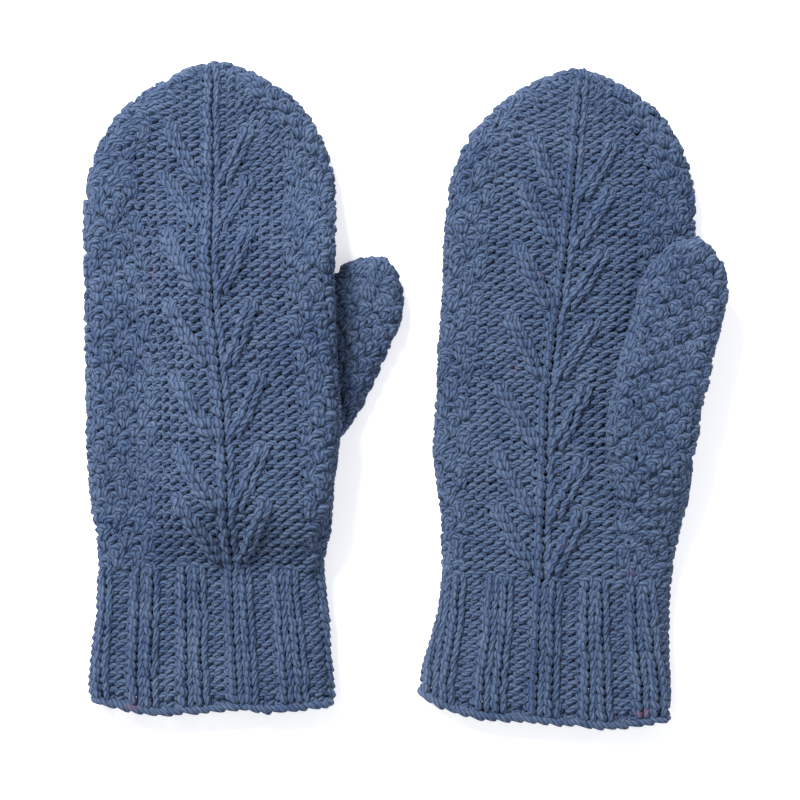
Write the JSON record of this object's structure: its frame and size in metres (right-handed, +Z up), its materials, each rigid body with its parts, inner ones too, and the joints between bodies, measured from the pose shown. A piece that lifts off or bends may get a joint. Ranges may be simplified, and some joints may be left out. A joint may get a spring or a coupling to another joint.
{
  "type": "knitted mittens",
  "caption": "Pair of hand-knitted wool mittens with ribbed cuffs, a branching tree pattern, moss-stitch sides and thumbs, lying flat.",
  "frame": {"origin": "centre of the pair's resting face, on the table", "axes": "+Z up from the table, +Y towards the fingertips, +X from the left mitten to the right mitten"},
  "size_m": [0.264, 0.2776, 0.0309],
  "materials": {
    "wool": "plied denim-blue wool, matt, slightly hairy",
    "yarn_ends": "single ends of the same plied wool, woven in"
  },
  "bodies": {
    "right_hand_body": {"right_wrist_rounds": "wool", "right_hand": "wool", "right_knuckle_rounds": "wool", "right_thumb_gusset": "wool"},
    "right_cuff_body": {"right_cast_on_edge": "wool", "right_cuff_rib": "wool", "right_cast_on_tail": "yarn_ends"},
    "right_fingers_body": {"right_finger_section": "wool", "right_tip_gather": "wool", "right_tip_tail": "yarn_ends"},
    "right_thumb_body": {"right_thumb_tube": "wool", "right_thumb_tip_gather": "wool", "right_thumb_tail": "yarn_ends"},
    "left_hand_body": {"left_wrist_rounds": "wool", "left_hand": "wool", "left_knuckle_rounds": "wool", "left_thumb_gusset": "wool"},
    "left_cuff_body": {"left_cast_on_edge": "wool", "left_cuff_rib": "wool", "left_cast_on_tail": "yarn_ends"},
    "left_fingers_body": {"left_finger_section": "wool", "left_tip_gather": "wool", "left_tip_tail": "yarn_ends"},
    "left_thumb_body": {"left_thumb_tube": "wool", "left_thumb_tip_gather": "wool", "left_thumb_tail": "yarn_ends"}
  },
  "joints": [
    {"name": "right_wrist_bend", "type": "hinge", "parent": "right_hand_body", "child": "right_cuff_body", "pos_m": [0.06179, -0.06698, 0.008], "axis": [-0.9984, 0.0558, 0], "range_deg": [-75, 75], "deforming": ["right_wrist_rounds"]},
    {"name": "right_finger_fold", "type": "hinge", "parent": "right_hand_body", "child": "right_fingers_body", "pos_m": [0.06989, 0.0778, 0.008], "axis": [0.9984, -0.0558, 0], "range_deg": [-30, 90], "deforming": ["right_knuckle_rounds"]},
    {"name": "right_thumb_swing", "type": "hinge", "parent": "right_hand_body", "child": "right_thumb_body", "pos_m": [0.09731, -0.02289, 0.024], "axis": [0, 0, -1], "range_deg": [-10, 45], "deforming": ["right_thumb_gusset"]},
    {"name": "left_wrist_bend", "type": "hinge", "parent": "left_hand_body", "child": "left_cuff_body", "pos_m": [-0.07976, -0.06197, 0.008], "axis": [-1, 0, 0], "range_deg": [-75, 75], "deforming": ["left_wrist_rounds"]},
    {"name": "left_finger_fold", "type": "hinge", "parent": "left_hand_body", "child": "left_fingers_body", "pos_m": [-0.07976, 0.08303, 0.008], "axis": [1, 0, 0], "range_deg": [-90, 30], "deforming": ["left_knuckle_rounds"]},
    {"name": "left_thumb_swing", "type": "hinge", "parent": "left_hand_body", "child": "left_thumb_body", "pos_m": [-0.04676, -0.01597, 0.007], "axis": [0, 0, -1], "range_deg": [-6, 14], "deforming": ["left_thumb_gusset"]},
    {"name": "pair_lift", "type": "slide", "parent": "right_hand_body", "child": "left_hand_body", "axis": [0, 0, 1], "range_m": [0, 0.12]}
  ]
}
